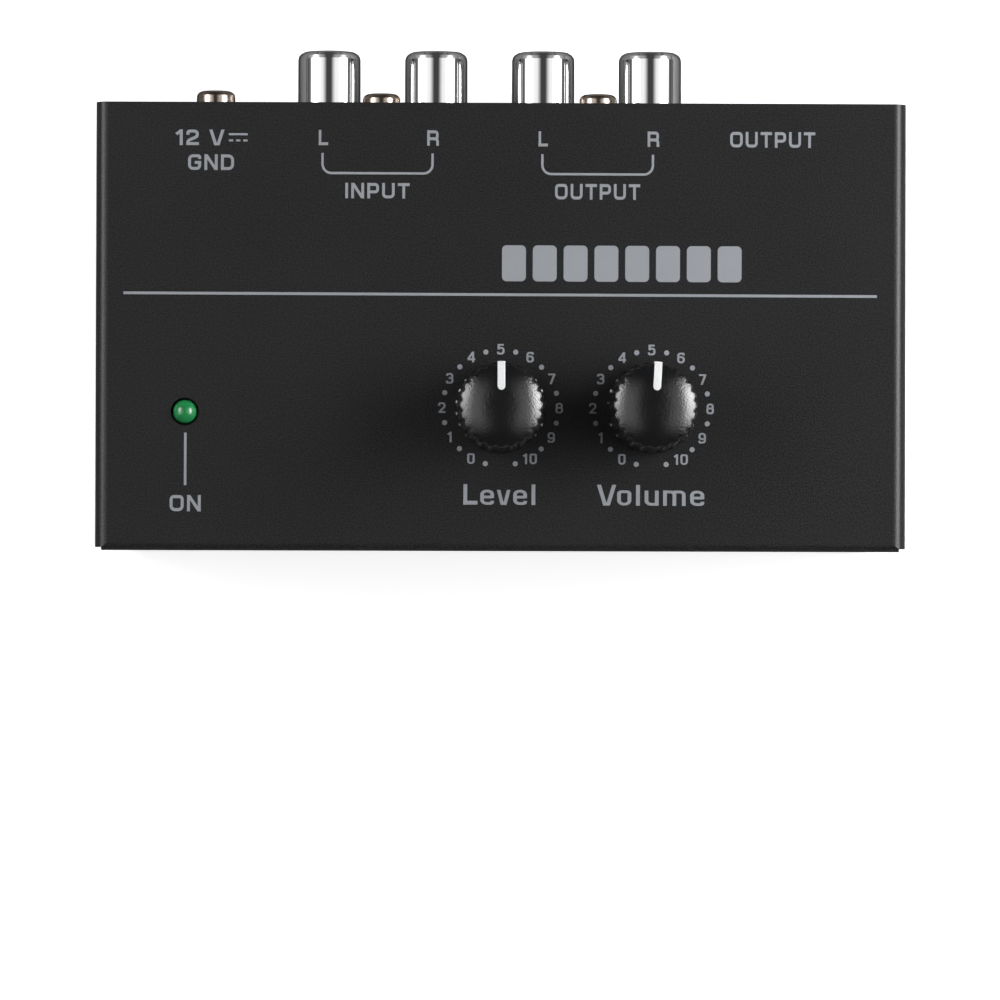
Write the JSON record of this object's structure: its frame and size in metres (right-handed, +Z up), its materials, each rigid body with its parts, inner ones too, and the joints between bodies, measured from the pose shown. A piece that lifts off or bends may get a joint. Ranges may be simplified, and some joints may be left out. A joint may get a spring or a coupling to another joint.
{
  "type": "phono preamp",
  "caption": "Compact phono preamp in a folded black steel case: fluted knobs and a power light on top, phono jacks, a 6.35 mm jack, a power inlet and a ground screw behind.",
  "frame": {"origin": "on the surface that the feet stand on, in the middle of the whole object's width and depth, jacks included", "axes": "+X to the right seen from the front, +Y to the rear where the jacks point, +Z up through the top with the knobs"},
  "size_m": [0.1102, 0.067, 0.0491],
  "materials": {
    "cover_powder_coat": "fine matte black powder coat",
    "base_powder_coat": "fine matte black powder coat",
    "black_screw": "black zinc",
    "foot_rubber": "matte",
    "board_fibre": "green solder mask",
    "plated_steel": "zinc plated",
    "jack_plastic": "satin moulded",
    "jack_chrome": "polished nickel plate",
    "insert_white": "gloss",
    "insert_red": "gloss",
    "contact_tin": "tinned brass",
    "screw_nickel": "nickel plate",
    "pot_case": "satin moulded",
    "pot_metal": "die cast",
    "knob_plastic": "satin black",
    "pointer_white": "gloss",
    "led_green": "clear tinted epoxy",
    "spacer_plastic": "satin",
    "chip_plastic": "matte moulded",
    "can_sleeve": "shrink sleeve",
    "film_plastic": "dipped",
    "resistor_enamel": "enamel",
    "panel_print": "matte screen print"
  },
  "bodies": {
    "case": {"case_cover": "cover_powder_coat", "case_base": "base_powder_coat", "case_screws": "black_screw", "rubber_feet": "foot_rubber", "main_board": "board_fibre", "board_standoffs": "plated_steel", "board_screws": "plated_steel", "jack_screws": "screw_nickel", "input_jack_body": "jack_plastic", "input_jack_shells": "jack_chrome", "input_jack_insert_left": "insert_white", "input_jack_insert_right": "insert_red", "input_jack_contacts": "contact_tin", "output_jack_body": "jack_plastic", "output_jack_shells": "jack_chrome", "output_jack_insert_left": "insert_white", "output_jack_insert_right": "insert_red", "output_jack_contacts": "contact_tin", "dc_jack_body": "jack_plastic", "dc_jack_pin": "jack_chrome", "dc_jack_contacts": "contact_tin", "ground_bracket": "plated_steel", "line_jack_body": "jack_plastic", "line_jack_ferrule": "jack_chrome", "line_jack_springs": "contact_tin", "led_lens": "led_green", "led_wires": "contact_tin", "led_spacer": "spacer_plastic", "amplifier_chips": "chip_plastic", "electrolytic_capacitors": "can_sleeve", "film_capacitors": "film_plastic", "resistors": "resistor_enamel", "voltage_regulator": "chip_plastic", "level_pot_body": "pot_case", "level_pot_bushing": "pot_metal", "level_pot_terminals": "contact_tin", "volume_pot_body": "pot_case", "volume_pot_bushing": "pot_metal", "volume_pot_terminals": "contact_tin"},
    "level_control": {"level_shaft": "pot_metal", "level_knob": "knob_plastic", "level_pointer": "pointer_white"},
    "volume_control": {"volume_shaft": "pot_metal", "volume_knob": "knob_plastic", "volume_pointer": "pointer_white"},
    "ground_washer": {"ground_washer": "screw_nickel"},
    "ground_screw": {"ground_screw": "screw_nickel"}
  },
  "joints": [
    {"name": "level_knob_turn", "type": "hinge", "parent": "case", "child": "level_control", "pos_m": [0, -0.0147, 0.042], "axis": [0, 0, -1], "range_deg": [-150, 150]},
    {"name": "volume_knob_turn", "type": "hinge", "parent": "case", "child": "volume_control", "pos_m": [0.0198, -0.0147, 0.042], "axis": [0, 0, -1], "range_deg": [-154.5, 145.5]},
    {"name": "ground_screw_travel", "type": "slide", "parent": "case", "child": "ground_washer", "axis": [0, 1, 0], "range_m": [0, 0.002]},
    {"name": "ground_screw_turn", "type": "hinge", "parent": "ground_washer", "child": "ground_screw", "pos_m": [-0.0379, 0.02565, 0.027], "axis": [0, 1, 0], "range_deg": [0, 1440]}
  ],
  "couplings": [
    {"joint": "ground_screw_turn", "follows": "ground_screw_travel", "rad_per_m": 12566}
  ]
}
